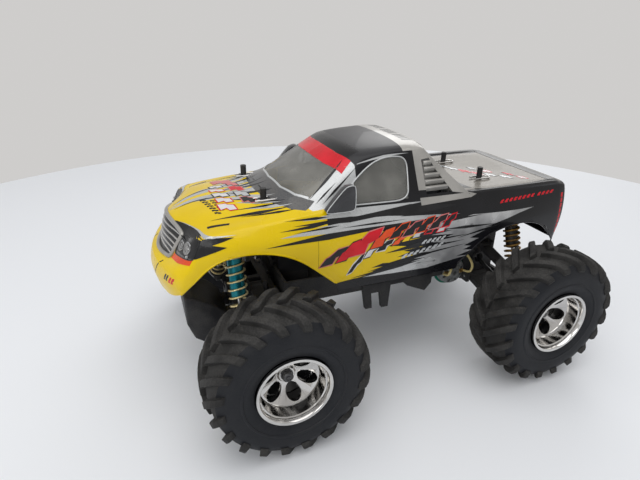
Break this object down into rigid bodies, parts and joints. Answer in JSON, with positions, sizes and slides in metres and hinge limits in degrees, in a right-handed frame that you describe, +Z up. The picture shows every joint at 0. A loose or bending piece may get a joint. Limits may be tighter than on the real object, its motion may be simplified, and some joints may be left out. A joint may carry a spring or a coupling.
{
  "type": "remote control car",
  "caption": "Battery-powered off-road toy truck with sprung arms, steered front wheels, rear drive by an electric motor, and a lift-off body shell on posts.",
  "frame": {"origin": "on the ground, in the middle of the truck's box", "axes": "+Z up, +Y towards the tail along the truck's length, +X towards the truck's left-hand wheels"},
  "size_m": [0.321, 0.4528, 0.246],
  "materials": {
    "tyre_rubber": "matt black rubber with chevron lugs",
    "chrome_rim": "bright chromed plastic",
    "black_plastic": "fine-textured black moulded nylon",
    "teal_aluminium": "teal anodised aluminium",
    "spring_steel": "cream and gold lacquered spring wire",
    "bright_steel": "ground steel",
    "motor_steel": "teal lacquered steel can",
    "endbell_alloy": "cast grey alloy",
    "gear_nylon": "natural nylon",
    "servo_case": "black plastic",
    "electronics_case": "blue plastic case",
    "wire_yellow": "cream-yellow silicone wire",
    "painted_shell": "clear polycarbonate painted inside, yellow with black and silver"
  },
  "bodies": {
    "chassis": {"chassis_tub": "black_plastic", "front_bulkhead": "black_plastic", "rear_gearbox": "black_plastic", "shock_tower_front": "black_plastic", "shock_tower_rear": "black_plastic", "front_bumper": "black_plastic", "body_posts": "black_plastic", "hinge_pins": "bright_steel", "motor_can": "motor_steel", "motor_endbell": "endbell_alloy", "motor_wires": "wire_yellow", "steering_servo": "servo_case", "speed_controller": "electronics_case"},
    "motor_shaft": {"motor_pinion": "bright_steel"},
    "idler": {"idler_gear": "gear_nylon"},
    "diff": {"differential": "gear_nylon"},
    "horn": {"servo_horn": "black_plastic"},
    "steer_bar": {"steering_bar": "black_plastic"},
    "shell": {"body_shell": "painted_shell", "body_clips": "bright_steel"},
    "lower_arm_front_left": {"lower_arm_front_left": "black_plastic"},
    "upper_arm_front_left": {"upper_arm_front_left": "black_plastic"},
    "carrier_front_left": {"carrier_front_left": "black_plastic"},
    "shock_front_left": {"shock_body_front_left": "teal_aluminium", "spring_front_left": "spring_steel"},
    "shock_rod_front_left": {"shock_rod_front_left": "bright_steel"},
    "knuckle_front_left": {"knuckle_front_left": "black_plastic"},
    "wheel_front_left": {"rim_front_left": "chrome_rim", "tyre_front_left": "tyre_rubber"},
    "tie_rod_left": {"tie_rod_left": "black_plastic"},
    "lower_arm_front_right": {"lower_arm_front_right": "black_plastic"},
    "upper_arm_front_right": {"upper_arm_front_right": "black_plastic"},
    "carrier_front_right": {"carrier_front_right": "black_plastic"},
    "shock_front_right": {"shock_body_front_right": "teal_aluminium", "spring_front_right": "spring_steel"},
    "shock_rod_front_right": {"shock_rod_front_right": "bright_steel"},
    "knuckle_front_right": {"knuckle_front_right": "black_plastic"},
    "wheel_front_right": {"rim_front_right": "chrome_rim", "tyre_front_right": "tyre_rubber"},
    "tie_rod_right": {"tie_rod_right": "black_plastic"},
    "lower_arm_rear_left": {"lower_arm_rear_left": "black_plastic"},
    "upper_arm_rear_left": {"upper_arm_rear_left": "black_plastic"},
    "carrier_rear_left": {"carrier_rear_left": "black_plastic"},
    "shock_rear_left": {"shock_body_rear_left": "teal_aluminium", "spring_rear_left": "spring_steel"},
    "shock_rod_rear_left": {"shock_rod_rear_left": "bright_steel"},
    "wheel_rear_left": {"axle_rear_left": "bright_steel", "rim_rear_left": "chrome_rim", "tyre_rear_left": "tyre_rubber"},
    "half_shaft_rear_left": {"half_shaft_rear_left": "bright_steel"},
    "lower_arm_rear_right": {"lower_arm_rear_right": "black_plastic"},
    "upper_arm_rear_right": {"upper_arm_rear_right": "black_plastic"},
    "carrier_rear_right": {"carrier_rear_right": "black_plastic"},
    "shock_rear_right": {"shock_body_rear_right": "teal_aluminium", "spring_rear_right": "spring_steel"},
    "shock_rod_rear_right": {"shock_rod_rear_right": "bright_steel"},
    "wheel_rear_right": {"axle_rear_right": "bright_steel", "rim_rear_right": "chrome_rim", "tyre_rear_right": "tyre_rubber"},
    "half_shaft_rear_right": {"half_shaft_rear_right": "bright_steel"}
  },
  "joints": [
    {"name": "suspension_front_left", "type": "hinge", "parent": "chassis", "child": "lower_arm_front_left", "pos_m": [0.032, -0.13, 0.0674], "axis": [0, -1, 0], "range_deg": [-8, 12], "stiffness_Nm_per_rad": 2.6, "springref_deg": -6.88},
    {"name": "upper_hinge_front_left", "type": "hinge", "parent": "chassis", "child": "upper_arm_front_left", "pos_m": [0.032, -0.13, 0.1054], "axis": [0, -1, 0], "range_deg": [-9, 13]},
    {"name": "carrier_hinge_front_left", "type": "hinge", "parent": "lower_arm_front_left", "child": "carrier_front_left", "pos_m": [0.086, -0.13, 0.0544], "axis": [0, -1, 0], "range_deg": [-13, 9]},
    {"name": "shock_swing_front_left", "type": "hinge", "parent": "chassis", "child": "shock_front_left", "pos_m": [0.037, -0.152, 0.165], "axis": [0, -1, 0], "range_deg": [-2, 2]},
    {"name": "shock_travel_front_left", "type": "slide", "parent": "shock_front_left", "child": "shock_rod_front_left", "axis": [-0.3134, 0, 0.9496], "range_m": [-0.0055, 0.008], "deforming": ["spring_front_left"]},
    {"name": "steering_left", "type": "hinge", "parent": "carrier_front_left", "child": "knuckle_front_left", "pos_m": [0.092, -0.13, 0.0734], "axis": [0, 0, 1], "range_deg": [-22, 22]},
    {"name": "wheel_spin_front_left", "type": "hinge", "parent": "knuckle_front_left", "child": "wheel_front_left", "pos_m": [0.13, -0.13, 0.0734], "axis": [1, 0, 0], "continuous": true},
    {"name": "tie_rod_swing_left", "type": "hinge", "parent": "steer_bar", "child": "tie_rod_left", "pos_m": [0.038, -0.111, 0.0944], "axis": [0, -1, 0], "range_deg": [-9, 13]},
    {"name": "suspension_front_right", "type": "hinge", "parent": "chassis", "child": "lower_arm_front_right", "pos_m": [-0.032, -0.13, 0.0674], "axis": [0, 1, 0], "range_deg": [-8, 12], "stiffness_Nm_per_rad": 2.6, "springref_deg": -6.88},
    {"name": "upper_hinge_front_right", "type": "hinge", "parent": "chassis", "child": "upper_arm_front_right", "pos_m": [-0.032, -0.13, 0.1054], "axis": [0, 1, 0], "range_deg": [-9, 13]},
    {"name": "carrier_hinge_front_right", "type": "hinge", "parent": "lower_arm_front_right", "child": "carrier_front_right", "pos_m": [-0.086, -0.13, 0.0544], "axis": [0, 1, 0], "range_deg": [-13, 9]},
    {"name": "shock_swing_front_right", "type": "hinge", "parent": "chassis", "child": "shock_front_right", "pos_m": [-0.037, -0.152, 0.165], "axis": [0, 1, 0], "range_deg": [-2, 2]},
    {"name": "shock_travel_front_right", "type": "slide", "parent": "shock_front_right", "child": "shock_rod_front_right", "axis": [0.3134, 0, 0.9496], "range_m": [-0.0055, 0.008], "deforming": ["spring_front_right"]},
    {"name": "steering_right", "type": "hinge", "parent": "carrier_front_right", "child": "knuckle_front_right", "pos_m": [-0.092, -0.13, 0.0734], "axis": [0, 0, 1], "range_deg": [-22, 22]},
    {"name": "wheel_spin_front_right", "type": "hinge", "parent": "knuckle_front_right", "child": "wheel_front_right", "pos_m": [-0.13, -0.13, 0.0734], "axis": [1, 0, 0], "continuous": true},
    {"name": "tie_rod_swing_right", "type": "hinge", "parent": "steer_bar", "child": "tie_rod_right", "pos_m": [-0.038, -0.111, 0.0944], "axis": [0, 1, 0], "range_deg": [-9, 13]},
    {"name": "suspension_rear_left", "type": "hinge", "parent": "chassis", "child": "lower_arm_rear_left", "pos_m": [0.032, 0.153, 0.0674], "axis": [0, -1, 0], "range_deg": [-8, 12], "stiffness_Nm_per_rad": 2.6, "springref_deg": -6.88},
    {"name": "upper_hinge_rear_left", "type": "hinge", "parent": "chassis", "child": "upper_arm_rear_left", "pos_m": [0.032, 0.153, 0.1054], "axis": [0, -1, 0], "range_deg": [-9, 13]},
    {"name": "carrier_hinge_rear_left", "type": "hinge", "parent": "lower_arm_rear_left", "child": "carrier_rear_left", "pos_m": [0.086, 0.153, 0.0544], "axis": [0, -1, 0], "range_deg": [-13, 9]},
    {"name": "shock_swing_rear_left", "type": "hinge", "parent": "chassis", "child": "shock_rear_left", "pos_m": [0.037, 0.175, 0.165], "axis": [0, -1, 0], "range_deg": [-2, 2]},
    {"name": "shock_travel_rear_left", "type": "slide", "parent": "shock_rear_left", "child": "shock_rod_rear_left", "axis": [-0.3134, 0, 0.9496], "range_m": [-0.0055, 0.008], "deforming": ["spring_rear_left"]},
    {"name": "wheel_spin_rear_left", "type": "hinge", "parent": "carrier_rear_left", "child": "wheel_rear_left", "pos_m": [0.13, 0.153, 0.0734], "axis": [1, 0, 0], "continuous": true},
    {"name": "half_shaft_swing_rear_left", "type": "hinge", "parent": "chassis", "child": "half_shaft_rear_left", "pos_m": [0.02, 0.153, 0.0864], "axis": [0, -1, 0], "range_deg": [-9, 13]},
    {"name": "suspension_rear_right", "type": "hinge", "parent": "chassis", "child": "lower_arm_rear_right", "pos_m": [-0.032, 0.153, 0.0674], "axis": [0, 1, 0], "range_deg": [-8, 12], "stiffness_Nm_per_rad": 2.6, "springref_deg": -6.88},
    {"name": "upper_hinge_rear_right", "type": "hinge", "parent": "chassis", "child": "upper_arm_rear_right", "pos_m": [-0.032, 0.153, 0.1054], "axis": [0, 1, 0], "range_deg": [-9, 13]},
    {"name": "carrier_hinge_rear_right", "type": "hinge", "parent": "lower_arm_rear_right", "child": "carrier_rear_right", "pos_m": [-0.086, 0.153, 0.0544], "axis": [0, 1, 0], "range_deg": [-13, 9]},
    {"name": "shock_swing_rear_right", "type": "hinge", "parent": "chassis", "child": "shock_rear_right", "pos_m": [-0.037, 0.175, 0.165], "axis": [0, 1, 0], "range_deg": [-2, 2]},
    {"name": "shock_travel_rear_right", "type": "slide", "parent": "shock_rear_right", "child": "shock_rod_rear_right", "axis": [0.3134, 0, 0.9496], "range_m": [-0.0055, 0.008], "deforming": ["spring_rear_right"]},
    {"name": "wheel_spin_rear_right", "type": "hinge", "parent": "carrier_rear_right", "child": "wheel_rear_right", "pos_m": [-0.13, 0.153, 0.0734], "axis": [1, 0, 0], "continuous": true},
    {"name": "half_shaft_swing_rear_right", "type": "hinge", "parent": "chassis", "child": "half_shaft_rear_right", "pos_m": [-0.02, 0.153, 0.0864], "axis": [0, 1, 0], "range_deg": [-9, 13]},
    {"name": "servo_turn", "type": "hinge", "parent": "chassis", "child": "horn", "pos_m": [0, -0.1095, 0.1124], "axis": [0, 1, 0], "range_deg": [-24, 24]},
    {"name": "steering_slide", "type": "slide", "parent": "chassis", "child": "steer_bar", "axis": [1, 0, 0], "range_m": [-0.0075, 0.0075]},
    {"name": "diff_spin", "type": "hinge", "parent": "chassis", "child": "diff", "pos_m": [0, 0.153, 0.0864], "axis": [1, 0, 0], "continuous": true},
    {"name": "idler_spin", "type": "hinge", "parent": "chassis", "child": "idler", "pos_m": [-0.021, 0.11525, 0.09159], "axis": [1, 0, 0], "continuous": true},
    {"name": "motor_spin", "type": "hinge", "parent": "chassis", "child": "motor_shaft", "pos_m": [-0.021, 0.1115, 0.078], "axis": [1, 0, 0], "continuous": true},
    {"name": "body_lift", "type": "slide", "parent": "chassis", "child": "shell", "axis": [0, 0, 1], "range_m": [0, 0.09]}
  ],
  "couplings": [
    {"joint": "upper_hinge_front_left", "follows": "suspension_front_left", "ratio": 1},
    {"joint": "carrier_hinge_front_left", "follows": "suspension_front_left", "ratio": -1},
    {"joint": "shock_swing_front_left", "follows": "suspension_front_left", "ratio": 0.0959},
    {"joint": "shock_travel_front_left", "follows": "suspension_front_left", "m_per_rad": 0.03573},
    {"joint": "tie_rod_swing_left", "follows": "suspension_front_left", "ratio": 1},
    {"joint": "upper_hinge_front_right", "follows": "suspension_front_right", "ratio": 1},
    {"joint": "carrier_hinge_front_right", "follows": "suspension_front_right", "ratio": -1},
    {"joint": "shock_swing_front_right", "follows": "suspension_front_right", "ratio": 0.0959},
    {"joint": "shock_travel_front_right", "follows": "suspension_front_right", "m_per_rad": 0.03573},
    {"joint": "tie_rod_swing_right", "follows": "suspension_front_right", "ratio": 1},
    {"joint": "upper_hinge_rear_left", "follows": "suspension_rear_left", "ratio": 1},
    {"joint": "carrier_hinge_rear_left", "follows": "suspension_rear_left", "ratio": -1},
    {"joint": "shock_swing_rear_left", "follows": "suspension_rear_left", "ratio": 0.0959},
    {"joint": "shock_travel_rear_left", "follows": "suspension_rear_left", "m_per_rad": 0.03573},
    {"joint": "half_shaft_swing_rear_left", "follows": "suspension_rear_left", "ratio": 1},
    {"joint": "upper_hinge_rear_right", "follows": "suspension_rear_right", "ratio": 1},
    {"joint": "carrier_hinge_rear_right", "follows": "suspension_rear_right", "ratio": -1},
    {"joint": "shock_swing_rear_right", "follows": "suspension_rear_right", "ratio": 0.0959},
    {"joint": "shock_travel_rear_right", "follows": "suspension_rear_right", "m_per_rad": 0.03573},
    {"joint": "half_shaft_swing_rear_right", "follows": "suspension_rear_right", "ratio": 1},
    {"joint": "steering_right", "follows": "steering_left", "ratio": 1},
    {"joint": "servo_turn", "follows": "steering_left", "ratio": 1.0556},
    {"joint": "steering_slide", "follows": "steering_left", "m_per_rad": -0.019},
    {"joint": "wheel_spin_rear_right", "follows": "wheel_spin_rear_left", "ratio": 1},
    {"joint": "diff_spin", "follows": "wheel_spin_rear_left", "ratio": 1},
    {"joint": "idler_spin", "follows": "wheel_spin_rear_left", "ratio": -3.2222},
    {"joint": "motor_spin", "follows": "wheel_spin_rear_left", "ratio": 5.8}
  ]
}
